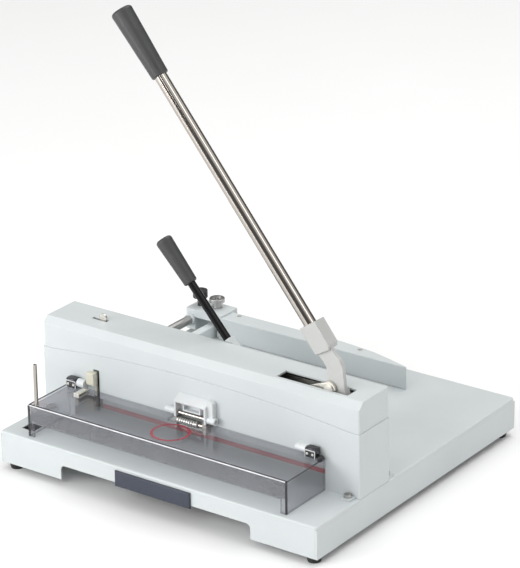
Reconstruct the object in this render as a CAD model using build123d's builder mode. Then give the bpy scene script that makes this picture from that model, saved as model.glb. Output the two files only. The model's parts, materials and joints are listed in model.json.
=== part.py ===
from build123d import *
from math import atan2, cos, hypot, pi, radians, sin, sqrt
import os

os.makedirs("parts", exist_ok=True)

# ---------------------------------------------------------------- driving dimensions (mm)
# The origin is on the floor under the middle of the footprint. X runs to the right as
# the operator stands, Y away from the operator, Z up.
base_width = 600.0
base_depth = 552.0
skirt_height = 52.5
foot_height = 12.0
drawer_proud = 4.0
plate_thick = 6.0
sheet = 2.5

# The three datum planes of the table: its left edge, its front edge and its top face.
left = -base_width / 2
right = base_width / 2
front = -(base_depth + drawer_proud) / 2 + drawer_proud
back = front + base_depth
top = foot_height + skirt_height
plate_under = top - plate_thick
skirt_foot = foot_height

# Bridge over the table.
bridge_front = front + 111
bridge_back = front + 192
bridge_top = top + 153
hood_joint = top + 104
throat_left = left + 60
throat_right = left + 538
throat_top = top + 41
column_top = top + 136
left_column_inner = left + 42
right_column_inner = left + 538

# Cutting lever and its linkage, in planes parallel to the bridge front.
lever_pivot = (left + 555, top + 60)
lever_plane = (front + 137.5, front + 149.5)
lever_lean = 38.5
link_pin_place = (left + 530.8, top + 153.6)
carrier_pin_place = (left + 452, top + 123)
link_eye_place = (left + 452.4, top + 121.2)
link_plane = (front + 132.4, front + 136.9)
pin_radius = 4.0

# Knife, clamp and their guides.
knife_plane = (front + 150.3, front + 158.3)
blade_plane = (front + 158.4, front + 163.4)
clamp_plane = (front + 164.5, front + 186.5)
knife_left = left + 84
knife_right = left + 524
knife_rise = 44.0
knife_angle = 50.0
knife_travel = 57.0
cutting_line = front + 162

# Clamp lever and its rack drive.
clamp_pivot = (left + 351.5, top + 90.6)
clamp_lever_plane = front + 200
clamp_lean = 41.0
gear_module = 2.0
gear_teeth = 24
gear_radius = gear_module * gear_teeth / 2

# Safety cover.
cover_left = left + 51
cover_right = left + 540
cover_front = front + 8.6
cover_back = front + 108.5
cover_top = top + 53.4
cover_wall = 3.0
hinge_line = (front + 102.5, top + 63)

# Back gauge.
gauge_front = front + 480
gauge_back = front + 512
gauge_height = 39.5
guide_rod_place = (left + 12, top + 24)
guide_rod_radius = 7.5

running_fit = 0.05


def block(x, y, z, mode=Mode.ADD):
    """A box between two X, two Y and two Z values."""
    middle = ((x[0] + x[1]) / 2, (y[0] + y[1]) / 2, (z[0] + z[1]) / 2)
    with Locations(middle):
        Box(x[1] - x[0], y[1] - y[0], z[1] - z[0], mode=mode)


def bar(start, end, radius, mode=Mode.ADD):
    """A round bar from one centre point to another."""
    way = Vector(*end) - Vector(*start)
    with BuildSketch(Plane(origin=start, z_dir=way)) as end_face:
        Circle(radius)
    extrude(end_face.sketch, amount=way.length, mode=mode)


def bar_y(x, z, y, radius, mode=Mode.ADD):
    """A round bar along Y between two Y values."""
    bar((x, y[0], z), (x, y[1], z), radius, mode)


def bar_z(x, y, z, radius, mode=Mode.ADD):
    """A round bar along Z between two Z values."""
    bar((x, y, z[0]), (x, y, z[1]), radius, mode)


def bar_x(y, z, x, radius, mode=Mode.ADD):
    """A round bar along X between two X values."""
    bar((x[0], y, z), (x[1], y, z), radius, mode)


def plane_facing_front(y):
    """Sketch plane at one Y, drawn as the operator sees it: right is +X, up is +Z."""
    return Plane(origin=(0, y, 0), x_dir=(1, 0, 0), z_dir=(0, -1, 0))


def keep(part, name):
    part.label = name
    export_step(part, f"parts/{name}.step")


def along(start, angle, distance):
    """The point at a distance from start, angle in degrees left of upright, in the XZ plane."""
    turn = radians(angle)
    return (start[0] - distance * sin(turn), start[1] + distance * cos(turn))


# ---------------------------------------------------------------- base
corner_radius = 6.0
groove_depth = 4.8
stick_width = 14.0
stick_left = left + 62
stick_right = left + 522
plug_middle = (left + 34, front + 38)
plug_size = 24.0

with BuildPart() as table_plate:
    block((left, right), (front, back), (plate_under, top))
    fillet(table_plate.edges().filter_by(Axis.Z), corner_radius)
    fillet(table_plate.faces().sort_by(Axis.Z)[-1].edges(), 2.5)
    block(
        (stick_left, stick_right),
        (cutting_line - stick_width / 2, cutting_line + stick_width / 2),
        (top - groove_depth, top),
        Mode.SUBTRACT,
    )
    block(
        (plug_middle[0] - plug_size / 2, plug_middle[0] + plug_size / 2),
        (plug_middle[1] - plug_size / 2, plug_middle[1] + plug_size / 2),
        (plate_under, top),
        Mode.SUBTRACT,
    )
keep(table_plate.part, "table_plate")

with BuildPart() as cutting_stick:
    block(
        (stick_left + 0.2, stick_right - 0.2),
        (cutting_line - stick_width / 2 + 0.1, cutting_line + stick_width / 2 - 0.1),
        (top - groove_depth, top),
    )
    chamfer(cutting_stick.edges().filter_by(Axis.X), 0.5)
keep(cutting_stick.part, "cutting_stick")

with BuildPart() as stick_hole_plug:
    half = plug_size / 2
    block(
        (plug_middle[0] - half + 0.1, plug_middle[0] + half - 0.1),
        (plug_middle[1] - half + 0.1, plug_middle[1] + half - 0.1),
        (plate_under, top - 1),
    )
    block(
        (plug_middle[0] - half + 3, plug_middle[0] + half - 3),
        (plug_middle[1] - half + 3, plug_middle[1] + half - 3),
        (top - 4, top - 1),
        Mode.SUBTRACT,
    )
keep(stick_hole_plug.part, "stick_hole_plug")

seam = 0.15
relief_left = left + 120
relief_right = left + 480
relief_edge = top - 28
drawer_hole_x = (left + 230, left + 370)
drawer_hole_top = top - 8.5

with BuildPart() as front_skirt:
    block((left + sheet + seam, right - sheet - seam), (front, front + sheet), (skirt_foot, plate_under))
    with BuildSketch(plane_facing_front(front)):
        with Locations((0, (relief_edge + skirt_foot - 20) / 2)):
            RectangleRounded(relief_right - relief_left, relief_edge - skirt_foot + 20, 8)
    extrude(amount=-sheet, mode=Mode.SUBTRACT)
    block(drawer_hole_x, (front, front + sheet), (relief_edge, drawer_hole_top), Mode.SUBTRACT)
keep(front_skirt.part, "front_skirt")

with BuildPart() as side_and_rear_skirts:
    block((left + sheet + seam, right - sheet - seam), (back - sheet, back), (skirt_foot, plate_under))
    for side_x in ((left, left + sheet), (right - sheet, right)):
        block(side_x, (front, back), (skirt_foot, plate_under))
keep(side_and_rear_skirts.part, "side_and_rear_skirts")

foot_inset = 17.0
foot_places = [
    (x, y)
    for x in (left + foot_inset, right - foot_inset)
    for y in (front + foot_inset, back - foot_inset)
]
foot_radius = 13.0
foot_bore = 3.2
post_half = 14.0

with BuildPart() as corner_posts:
    for x, y in foot_places:
        block((x - post_half, x + post_half), (y - post_half, y + post_half), (skirt_foot, plate_under))
        bar_z(x, y, (skirt_foot, skirt_foot + 18), foot_bore, Mode.SUBTRACT)
keep(corner_posts.part, "corner_posts")

with BuildPart() as rubber_feet:
    for x, y in foot_places:
        with BuildSketch(Plane.XY.offset(0)):
            with Locations((x, y)):
                Circle(foot_radius - 3)
        with BuildSketch(Plane.XY.offset(foot_height)):
            with Locations((x, y)):
                Circle(foot_radius)
        loft()
        bar_z(x, y, (0, foot_height), foot_bore, Mode.SUBTRACT)
        bar_z(x, y, (0, 5), 6.2, Mode.SUBTRACT)
keep(rubber_feet.part, "rubber_feet")

with BuildPart() as foot_screws:
    for x, y in foot_places:
        bar_z(x, y, (1.5, 5), 5.8)
        bar_z(x, y, (5, skirt_foot + 17), foot_bore - running_fit)
keep(foot_screws.part, "foot_screws")

# Two stiffeners under the table carry the drawer runners and the bridge bolts.
rib_thick = 5.0
rib_height = 19.0
with BuildPart() as table_ribs:
    for x in (left + 200, left + 395):
        block((x, x + rib_thick), (front + sheet + 4, back - sheet), (plate_under - rib_height, plate_under))
keep(table_ribs.part, "table_ribs")

# ---------------------------------------------------------------- tool drawer
drawer_left = left + 229
drawer_right = left + 371
drawer_depth = 190.0
tray_wall = 1.5
runner_lip = 6.0

with BuildPart() as drawer_front:
    block((drawer_left, drawer_right), (front - drawer_proud, front - 0.3), (top - 32, top - 6.5))
    fillet(drawer_front.faces().sort_by(Axis.Y)[0].edges(), 1.5)
keep(drawer_front.part, "drawer_front")

with BuildPart() as drawer_tray:
    tray_x = (drawer_left + 3, drawer_right - 3)
    tray_y = (front - 0.3, front - 0.3 + drawer_depth)
    tray_z = (relief_edge + 0.6, top - 11)
    block(tray_x, tray_y, tray_z)
    block(
        (tray_x[0] + tray_wall, tray_x[1] - tray_wall),
        (tray_y[0] + tray_wall, tray_y[1] - tray_wall),
        (tray_z[0] + tray_wall, tray_z[1]),
        Mode.SUBTRACT,
    )
keep(drawer_tray.part, "drawer_tray")

with BuildPart() as drawer_runners:
    runner_y = (front + 8, tray_y[1] - 20)
    lip_z = (tray_z[0] - 2.8, tray_z[0] - 0.3)
    block((tray_x[0] - 3.5, tray_x[0] - 0.5), runner_y, (lip_z[0], plate_under))
    block((tray_x[0] - 0.6, tray_x[0] + runner_lip), runner_y, lip_z)
    block((tray_x[1] + 0.5, tray_x[1] + 3.5), runner_y, (lip_z[0], plate_under))
    block((tray_x[1] - runner_lip, tray_x[1] + 0.6), runner_y, lip_z)
keep(drawer_runners.part, "drawer_runners")

# ---------------------------------------------------------------- bridge columns and beams
pivot_shaft_radius = 10.0
bush_wall = 2.5
column_left_x = (left + 6, left_column_inner)
column_right_x = (right_column_inner, left + 594)
column_y = (bridge_front + 5, bridge_back - 5)

with BuildPart() as left_column:
    block(column_left_x, column_y, (top, column_top))
keep(left_column.part, "left_column")

cheek_planes = ((front + 116, front + 128.5), (front + 151.5, front + 187))
with BuildPart() as right_column_cheeks:
    for cheek_y in cheek_planes:
        block(column_right_x, cheek_y, (top, column_top))
        bar_y(*lever_pivot, cheek_y, pivot_shaft_radius + bush_wall, Mode.SUBTRACT)
keep(right_column_cheeks.part, "right_column_cheeks")

with BuildPart() as lever_pivot_bushes:
    for cheek_y in cheek_planes:
        bar_y(*lever_pivot, cheek_y, pivot_shaft_radius + bush_wall)
        bar_y(*lever_pivot, cheek_y, pivot_shaft_radius + running_fit, Mode.SUBTRACT)
keep(lever_pivot_bushes.part, "lever_pivot_bushes")

with BuildPart() as lever_pivot_shaft:
    bar_y(*lever_pivot, (front + 115.5, front + 187.4), pivot_shaft_radius)
    chamfer(lever_pivot_shaft.faces().filter_by(Plane.XZ).edges(), 1)
keep(lever_pivot_shaft.part, "lever_pivot_shaft")

front_beam_y = (front + 116, front + 127)
front_beam_z = (top + 46, top + 134)
roller_radius = 8.0
roller_places = [(left + 150, top + 77), (left + 372, top + 77)]

with BuildPart() as front_beam:
    block((left_column_inner, right_column_inner), front_beam_y, front_beam_z)
    for place in roller_places:
        bar_y(*place, front_beam_y, pin_radius, Mode.SUBTRACT)
keep(front_beam.part, "front_beam")

with BuildPart() as knife_guide_pins:
    for place in roller_places:
        bar_y(*place, (front_beam_y[0], knife_plane[1]), pin_radius)
        bar_y(*place, (front_beam_y[1], knife_plane[0] - 0.8), pin_radius + 3)
keep(knife_guide_pins.part, "knife_guide_pins")

with BuildPart() as knife_guide_rollers:
    for place in roller_places:
        roller_y = (knife_plane[0] - 0.5, knife_plane[1] - 0.2)
        bar_y(*place, roller_y, roller_radius)
        bar_y(*place, roller_y, pin_radius + running_fit, Mode.SUBTRACT)
keep(knife_guide_rollers.part, "knife_guide_rollers")

post_radius = 6.0
post_places = [(left + 51.5, front + 175.5), (left + 528, front + 175.5)]
with BuildPart() as clamp_guide_posts:
    for x, y in post_places:
        bar_z(x, y, (top, column_top), post_radius)
keep(clamp_guide_posts.part, "clamp_guide_posts")

tie_bar_y = (front + 164.5, front + 187)
tie_bar_z = (column_top, column_top + 6)
tie_bar_gap = (left + 350, left + 396)
with BuildPart() as top_tie_bar:
    block((column_left_x[0], column_right_x[1]), tie_bar_y, tie_bar_z)
    block(tie_bar_gap, tie_bar_y, tie_bar_z, Mode.SUBTRACT)
keep(top_tie_bar.part, "top_tie_bar")

# ---------------------------------------------------------------- bridge covers
hood_wall = 3.0
arc_rise = 16.0
edge_radius = 3.0
step = 1.5
hood_slope_drop = 12.0
hood_slope_run = 11.0
slope_clear = 16.0
hood_cavity_step = bridge_top - 14
slot_depth = 20.0
shell_cut = 6.0
lever_slot = (left + 438.5, left + 566.3, front + 129.8, front + 155)
height_slot = (left + 68.5, left + 98, front + 151, front + 157.6)

joint_line_left = left + 18
joint_line_right = right - 18


with BuildPart() as bridge_hood:
    hood_middle = (bridge_front + bridge_back) / 2
    with BuildSketch(Plane.XY.offset(hood_joint)):
        with Locations((0, hood_middle)):
            RectangleRounded(base_width - 2 * step, bridge_back - bridge_front - 2 * step, edge_radius)
    extrude(amount=bridge_top - hood_joint)
    with BuildSketch(Plane.YZ.offset(left)):
        Polygon(
            (bridge_front, bridge_top - hood_slope_drop),
            (bridge_front, bridge_top),
            (bridge_front + hood_slope_run + step, bridge_top),
            align=None,
        )
    extrude(amount=base_width, mode=Mode.SUBTRACT)
    block(
        (left + step + hood_wall, right - step - hood_wall),
        (bridge_front + step + hood_wall, bridge_back - step - hood_wall),
        (hood_joint, hood_cavity_step),
        Mode.SUBTRACT,
    )
    block(
        (left + step + hood_wall, right - step - hood_wall),
        (bridge_front + slope_clear, bridge_back - step - hood_wall),
        (hood_cavity_step, bridge_top - hood_wall),
        Mode.SUBTRACT,
    )
    with BuildSketch(plane_facing_front(bridge_front)):
        with BuildLine():
            ThreePointArc(
                (joint_line_left, hood_joint), (0, hood_joint + arc_rise), (joint_line_right, hood_joint)
            )
            Line((joint_line_right, hood_joint), (joint_line_left, hood_joint))
        make_face()
    extrude(amount=-shell_cut, mode=Mode.SUBTRACT)
    block(lever_slot[:2], lever_slot[2:], (bridge_top - slot_depth, bridge_top), Mode.SUBTRACT)
    block(height_slot[:2], height_slot[2:], (bridge_top - slot_depth, bridge_top), Mode.SUBTRACT)
keep(bridge_hood.part, "bridge_hood")

# The lower shell wraps the front and both ends of the bridge; its top edge follows the arch.
interlock_slot = (left + 101, left + 112, top + 25, top + 88)

with BuildPart() as bridge_shell:
    shell_middle = (bridge_front + bridge_back) / 2
    with BuildSketch(Plane.XY.offset(top)):
        with Locations((0, shell_middle)):
            RectangleRounded(base_width, bridge_back - bridge_front, edge_radius)
    extrude(amount=hood_joint + arc_rise - top)
    block(
        (left + hood_wall, right - hood_wall),
        (bridge_front + step + hood_wall, bridge_back),
        (top, hood_joint + arc_rise),
        Mode.SUBTRACT,
    )
    block((left, right), (bridge_back - hood_wall, bridge_back), (top, hood_joint + arc_rise), Mode.SUBTRACT)
    with BuildSketch(plane_facing_front(bridge_front)):
        with BuildLine():
            ThreePointArc(
                (joint_line_left, hood_joint), (0, hood_joint + arc_rise), (joint_line_right, hood_joint)
            )
            Line((joint_line_right, hood_joint), (right, hood_joint))
            Line((right, hood_joint), (right, hood_joint + 2 * arc_rise))
            Line((right, hood_joint + 2 * arc_rise), (left, hood_joint + 2 * arc_rise))
            Line((left, hood_joint + 2 * arc_rise), (left, hood_joint))
            Line((left, hood_joint), (joint_line_left, hood_joint))
        make_face()
    extrude(amount=-(bridge_back - bridge_front), mode=Mode.SUBTRACT)
    front_wall_y = (bridge_front, bridge_front + shell_cut)
    block((throat_left, throat_right), front_wall_y, (top, throat_top), Mode.SUBTRACT)
    block(interlock_slot[:2], front_wall_y, interlock_slot[2:], Mode.SUBTRACT)
keep(bridge_shell.part, "bridge_shell")

clamp_bush_radius = 11.0
bush_y = (bridge_back - 8, bridge_back)
with BuildPart() as bridge_rear_cover:
    block(
        (left + hood_wall, right - hood_wall),
        (bridge_back - hood_wall, bridge_back),
        (throat_top, hood_joint),
    )
    for end in ((left + hood_wall, throat_left), (throat_right, right - hood_wall)):
        block(end, (bridge_back - hood_wall, bridge_back), (top, throat_top))
    bar_y(*clamp_pivot, bush_y, clamp_bush_radius, Mode.SUBTRACT)
keep(bridge_rear_cover.part, "bridge_rear_cover")

bridge_bolt_places = [
    (left + 17, front + 104),
    (right - 17, front + 104),
    (left + 12, front + 199),
    (right - 12, front + 199),
]
ear_thick = 3.0
ear_half = 9.0
ear_reach = 8.0
bolt_head_high = 5.0
bolt_head_radius = 6.0
hex_radius = 3.2
with BuildPart() as bridge_foot_ears:
    for x, y in bridge_bolt_places:
        inner = bridge_front - 0.1 if y < bridge_front else bridge_back + 0.1
        outer = y - ear_reach if y < bridge_front else y + ear_reach
        block((x - ear_half, x + ear_half), tuple(sorted((inner, outer))), (top, top + ear_thick))
        bar_z(x, y, (top, top + ear_thick), pin_radius, Mode.SUBTRACT)
keep(bridge_foot_ears.part, "bridge_foot_ears")

with BuildPart() as bridge_bolts:
    for x, y in bridge_bolt_places:
        bar_z(x, y, (top, top + ear_thick), pin_radius - running_fit)
        bar_z(x, y, (top + ear_thick, top + ear_thick + bolt_head_high), bolt_head_radius)
    for x, y in bridge_bolt_places:
        with BuildSketch(Plane.XY.offset(top + ear_thick + 2)):
            with Locations((x, y)):
                RegularPolygon(hex_radius, 6)
        extrude(amount=4, mode=Mode.SUBTRACT)
keep(bridge_bolts.part, "bridge_bolts")

# ---------------------------------------------------------------- cutting lever
lever_rod_radius = 10.0
rod_low = (left + 490.1, top + 246.5)
rod_high = along(rod_low, lever_lean, 426.5)
lever_grip_length = 115.0
grip_high = along(rod_high, lever_lean, lever_grip_length)
hub_radius = 22.0
socket_thick = 23.0
socket_bore = 40.0
link_pin_radius = 5.0

arm_middle = sum(lever_plane) / 2
socket_front = arm_middle - socket_thick / 2

# The arm is a plate that swings in the slot, with a thicker socket on top that holds the rod.
# Above the bridge the plate is thinner than round its hub.
socket_corners = [
    (left + 479.5, top + 238.1),
    (left + 506.5, top + 256),
    (left + 531, top + 223.5),
    (left + 531, top + 216.5),
    (left + 508, top + 203),
]
arm_right_edge = [
    (left + 534.4, top + 212.1),
    (left + 546.5, top + 201.9),
    (left + 552.1, top + 189.5),
    (left + 555.9, top + 155.4),
]
arm_left_edge = [
    (left + 520.5, top + 152),
    (left + 521.5, top + 162),
    (left + 526.1, top + 169.9),
    (left + 522.9, top + 186.7),
]
thin_plate_back = front + 144.5
thin_plate_z = (top + 158, top + 260)
thin_plate_x = (left + 470, left + 570)

with BuildPart() as lever_arm:
    with BuildSketch(plane_facing_front(lever_plane[0])) as arm_outline:
        Polygon(
            *socket_corners[1:3],
            *arm_right_edge,
            (lever_pivot[0] + hub_radius - 1, lever_pivot[1] + 8),
            (lever_pivot[0] - hub_radius + 1, lever_pivot[1] + 8),
            *arm_left_edge,
            socket_corners[4],
            align=None,
        )
        with Locations(lever_pivot):
            Circle(hub_radius)
    extrude(arm_outline.sketch, amount=-(lever_plane[1] - lever_plane[0]))
    block(thin_plate_x, (thin_plate_back, lever_plane[1]), thin_plate_z, Mode.SUBTRACT)
    with BuildSketch(plane_facing_front(socket_front)) as socket_outline:
        Polygon(*socket_corners, align=None)
    extrude(socket_outline.sketch, amount=-socket_thick)
    socket_mouth = Plane(
        origin=(rod_low[0], arm_middle, rod_low[1]),
        z_dir=(sin(radians(lever_lean)), 0, -cos(radians(lever_lean))),
    )
    with BuildSketch(socket_mouth) as rod_hole:
        Circle(lever_rod_radius)
    extrude(rod_hole.sketch, amount=socket_bore, mode=Mode.SUBTRACT)
    bar_y(*lever_pivot, (front + 129.2, front + 150.8), hub_radius - 5)
    bar_y(*lever_pivot, (front + 129, front + 151), pivot_shaft_radius + running_fit, Mode.SUBTRACT)
    bar_y(*link_pin_place, lever_plane, link_pin_radius, Mode.SUBTRACT)
keep(lever_arm.part, "lever_arm")

grip_end_wall = 8.0
rod_tang_radius = 7.0
rod_start = along(rod_low, lever_lean, -socket_bore)
rod_tip = along(grip_high, lever_lean, -grip_end_wall)
with BuildPart() as lever_rod:
    lever_y = sum(lever_plane) / 2
    bar(
        (rod_start[0], lever_y, rod_start[1]),
        (rod_high[0], lever_y, rod_high[1]),
        lever_rod_radius,
    )
    bar(
        (rod_high[0], lever_y, rod_high[1]),
        (rod_tip[0], lever_y, rod_tip[1]),
        rod_tang_radius,
    )
keep(lever_rod.part, "lever_rod")


def grip_profile(low_radius, high_radius, length, bore):
    """Half section of a tapered hand grip, wider at its domed end."""
    dome = 5.0
    with BuildSketch(Plane.XZ) as half_section:
        with BuildLine():
            Polyline((bore, 0), (low_radius - 1.5, 0), (low_radius, 1.5), (high_radius, length - dome))
            ThreePointArc(
                (high_radius, length - dome),
                (high_radius - 0.3 * dome, length - 0.3 * dome),
                (high_radius - dome, length),
            )
            Polyline(
                (high_radius - dome, length),
                (0, length),
                (0, length - grip_end_wall),
                (bore, length - grip_end_wall),
                (bore, 0),
            )
        make_face()
    return half_section.sketch


def lean_plane(place, y, lean):
    """A plane on a leaning lever whose Z runs up the lever."""
    turn = radians(lean)
    return Plane(origin=(place[0], y, place[1]), x_dir=(0, 1, 0), z_dir=(-sin(turn), 0, cos(turn)))


with BuildPart() as lever_grip_straight:
    revolve(grip_profile(13.5, 17, lever_grip_length, rod_tang_radius), axis=Axis.Z)
lever_grip = lean_plane(rod_high, sum(lever_plane) / 2, lever_lean) * lever_grip_straight.part
keep(lever_grip, "lever_grip")

pin_head_y = (link_plane[0] - 2.2, link_plane[0] - 0.2)
pin_head_radius = 8.0
with BuildPart() as link_pin:
    bar_y(*link_pin_place, (pin_head_y[0], lever_plane[1]), link_pin_radius)
    bar_y(*link_pin_place, pin_head_y, pin_head_radius)
    chamfer(link_pin.faces().sort_by(Axis.Y)[0].edges(), 0.8)
keep(link_pin.part, "link_pin")

link_end_radius = 11.5
link_eye_radius = 6.6
with BuildPart() as drive_link:
    way = Vector(*link_eye_place) - Vector(*link_pin_place)
    with BuildSketch(plane_facing_front(link_plane[0])) as link_outline:
        with Locations(link_pin_place):
            Circle(link_end_radius)
        with Locations(link_eye_place):
            Circle(link_end_radius)
        side = Vector(-way.Y, way.X).normalized() * (link_end_radius - 0.5)
        start = Vector(*link_pin_place)
        end = Vector(*link_eye_place)
        with BuildLine():
            corners = (start + side, end + side, end - side, start - side, start + side)
            Polyline(*[(corner.X, corner.Y) for corner in corners])
        make_face()
        with Locations(link_pin_place):
            Circle(link_pin_radius + running_fit, mode=Mode.SUBTRACT)
        with Locations(link_eye_place):
            Circle(link_eye_radius, mode=Mode.SUBTRACT)
    extrude(link_outline.sketch, amount=-(link_plane[1] - link_plane[0]))
keep(drive_link.part, "drive_link")

# ---------------------------------------------------------------- knife carrier and knife
carrier_low = top + 60
carrier_high = top + 132
slide_way = (cos(radians(knife_angle)), sin(radians(knife_angle)))
blade_edge = top + knife_rise
blade_high = carrier_low + 30
bolt_spacing = 70.0
blade_bolt_count = 6
first_blade_bolt = 45.0
blade_bolt_radius = 3.0
bolt_row = carrier_low + 20
head_row = carrier_low + 9
tab_middle = knife_left + 5
tab_high = top + 157
tab_radius = 7.0
tab_plane = (front + 152.8, front + 155.8)
tab_thin_z = (top + 150, top + 165)

with BuildPart() as knife_carrier:
    with BuildSketch(plane_facing_front(knife_plane[0])) as carrier_outline:
        Polygon(
            (knife_left, carrier_low),
            (knife_right, carrier_low),
            (knife_right, carrier_high - 30),
            (left + 500, carrier_high),
            (tab_middle + 6, carrier_high),
            (tab_middle + 6, tab_high),
            (tab_middle - 6, tab_high),
            (tab_middle - 6, carrier_high - 20),
            align=None,
        )
        with Locations((tab_middle, tab_high)):
            Circle(tab_radius)
        for place in roller_places:
            far = (place[0] + knife_travel * slide_way[0], place[1] + knife_travel * slide_way[1])
            middle = ((place[0] + far[0]) / 2, (place[1] + far[1]) / 2)
            with Locations(Location((middle[0], middle[1], 0), (0, 0, knife_angle))):
                SlotCenterToCenter(knife_travel + 1, 2 * (roller_radius + running_fit), mode=Mode.SUBTRACT)
    extrude(carrier_outline.sketch, amount=-(knife_plane[1] - knife_plane[0]))
    for thinned in ((knife_plane[0], tab_plane[0]), (tab_plane[1], knife_plane[1])):
        block((tab_middle - 8, tab_middle + 8), thinned, tab_thin_z, Mode.SUBTRACT)
    bar_y(*carrier_pin_place, knife_plane, pin_radius, Mode.SUBTRACT)
keep(knife_carrier.part, "knife_carrier")

with BuildPart() as carrier_pin:
    bar_y(*carrier_pin_place, (link_plane[0], knife_plane[1]), pin_radius)
    bar_y(*carrier_pin_place, (link_plane[1] + 0.8, knife_plane[0]), pin_radius + 3)
keep(carrier_pin.part, "carrier_pin")

with BuildPart() as cutting_blade:
    with BuildSketch(Plane.YZ.offset(knife_left)):
        Polygon(
            (blade_plane[0], carrier_low + 2),
            (blade_plane[0], blade_high),
            (blade_plane[1], blade_high),
            (blade_plane[1], blade_edge),
            (blade_plane[1] - 0.4, blade_edge),
            align=None,
        )
    extrude(amount=knife_right - knife_left)
    for count in range(blade_bolt_count):
        bolt_x = knife_left + first_blade_bolt + count * bolt_spacing
        bar_y(bolt_x, bolt_row, blade_plane, blade_bolt_radius, Mode.SUBTRACT)
keep(cutting_blade.part, "cutting_blade")

with BuildPart() as blade_bolts:
    for count in range(blade_bolt_count):
        bolt_x = knife_left + first_blade_bolt + count * bolt_spacing
        bar_y(bolt_x, bolt_row, blade_plane, blade_bolt_radius)
        bar_y(bolt_x, head_row, (knife_plane[0] - 3, knife_plane[0]), 1.5 * blade_bolt_radius)
keep(blade_bolts.part, "blade_bolts")

# ---------------------------------------------------------------- paper clamp
clamp_low = top + 43.5
clamp_high = top + 62
rack_thick = (front + 168, front + 180)
rack_x = clamp_pivot[0] + gear_radius
pitch = pi * gear_module
tooth_share = 0.42
pressure_angle = radians(20)
dedendum = 1.25 * gear_module
flank_stages = 4
rack_high = top + 146

with BuildPart() as clamp_beam:
    block((left_column_inner + 2, right_column_inner - 2), clamp_plane, (clamp_low, clamp_high))
    fillet(clamp_beam.edges().filter_by(Axis.X).group_by(Axis.Z)[0], 1.5)
    for x, y in post_places:
        bar_z(x, y, (clamp_low, clamp_high), post_radius + running_fit, Mode.SUBTRACT)
keep(clamp_beam.part, "clamp_beam")

with BuildPart() as clamp_rack:
    tooth_count = int((rack_high - clamp_high - 4) / pitch)
    with BuildSketch(plane_facing_front(rack_thick[0])) as rack_outline:
        with Locations((rack_x + dedendum + 5, (clamp_high + rack_high) / 2)):
            Rectangle(10, rack_high - clamp_high)
        first = clamp_pivot[1] + pitch / 2
        steps_down = int((first - clamp_high - 3) / pitch)
        for count in range(tooth_count):
            tooth_z = first + (count - steps_down) * pitch
            root_half = pitch * tooth_share / 2 + dedendum * 0.364
            tip_half = pitch * tooth_share / 2 - gear_module * 0.364
            if tooth_z + root_half < rack_high:
                Polygon(
                    (rack_x + dedendum + 0.1, tooth_z - root_half),
                    (rack_x - gear_module, tooth_z - tip_half),
                    (rack_x - gear_module, tooth_z + tip_half),
                    (rack_x + dedendum + 0.1, tooth_z + root_half),
                    align=None,
                )
    extrude(rack_outline.sketch, amount=-(rack_thick[1] - rack_thick[0]))
keep(clamp_rack.part, "clamp_rack")

shaft_radius = 8.0
with BuildPart() as clamp_shaft:
    bar_y(*clamp_pivot, (rack_thick[0] - 1, clamp_lever_plane + 9), shaft_radius)
    chamfer(clamp_shaft.faces().filter_by(Plane.XZ).edges(), 0.8)
keep(clamp_shaft.part, "clamp_shaft")

with BuildPart() as clamp_pinion:
    with BuildSketch(plane_facing_front(rack_thick[0])) as pinion_outline:
        with Locations(clamp_pivot):
            Circle(gear_radius - dedendum)
        base_circle = gear_radius * cos(pressure_angle)
        tip_circle = gear_radius + gear_module * 0.95
        half_at_pitch = tooth_share * pitch / (2 * gear_radius)
        involute_pitch = sin(pressure_angle) / cos(pressure_angle) - pressure_angle
        for count in range(gear_teeth):
            tooth_angle = 2 * pi * count / gear_teeth
            flank = []
            for stage in range(flank_stages + 1):
                radius = base_circle + (tip_circle - base_circle) * stage / flank_stages
                roll = sqrt(max((radius / base_circle) ** 2 - 1, 0))
                spread = half_at_pitch + involute_pitch - (roll - atan2(roll, 1))
                flank.append((radius, spread))
            points = [(gear_radius - 1.3 * gear_module, flank[0][1] * 1.05)] + flank
            outline = [(radius, -spread) for radius, spread in points]
            outline += [(radius, spread) for radius, spread in reversed(points)]
            Polygon(
                *[
                    (
                        clamp_pivot[0] + radius * cos(tooth_angle + spread),
                        clamp_pivot[1] + radius * sin(tooth_angle + spread),
                    )
                    for radius, spread in outline
                ],
                align=None,
            )
        with Locations(clamp_pivot):
            Circle(shaft_radius, mode=Mode.SUBTRACT)
    extrude(pinion_outline.sketch, amount=-(rack_thick[1] - rack_thick[0]))
keep(clamp_pinion.part, "clamp_pinion")

with BuildPart() as clamp_shaft_bush:
    bar_y(*clamp_pivot, bush_y, clamp_bush_radius)
    bar_y(*clamp_pivot, bush_y, shaft_radius + running_fit, Mode.SUBTRACT)
keep(clamp_shaft_bush.part, "clamp_shaft_bush")

clamp_hub_radius = 17.0
clamp_arm_half = 6.5
clamp_rod_low = (left + 296.4, top + 154)
clamp_grip_low = along(clamp_rod_low, clamp_lean, 103.3)
clamp_grip_length = 81.0
clamp_rod_radius = 6.5
clamp_tang_radius = 5.0
clamp_rod_foot = along(clamp_rod_low, clamp_lean, -29.9)
clamp_rod_tip = along(clamp_grip_low, clamp_lean, clamp_grip_length - grip_end_wall)

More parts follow.
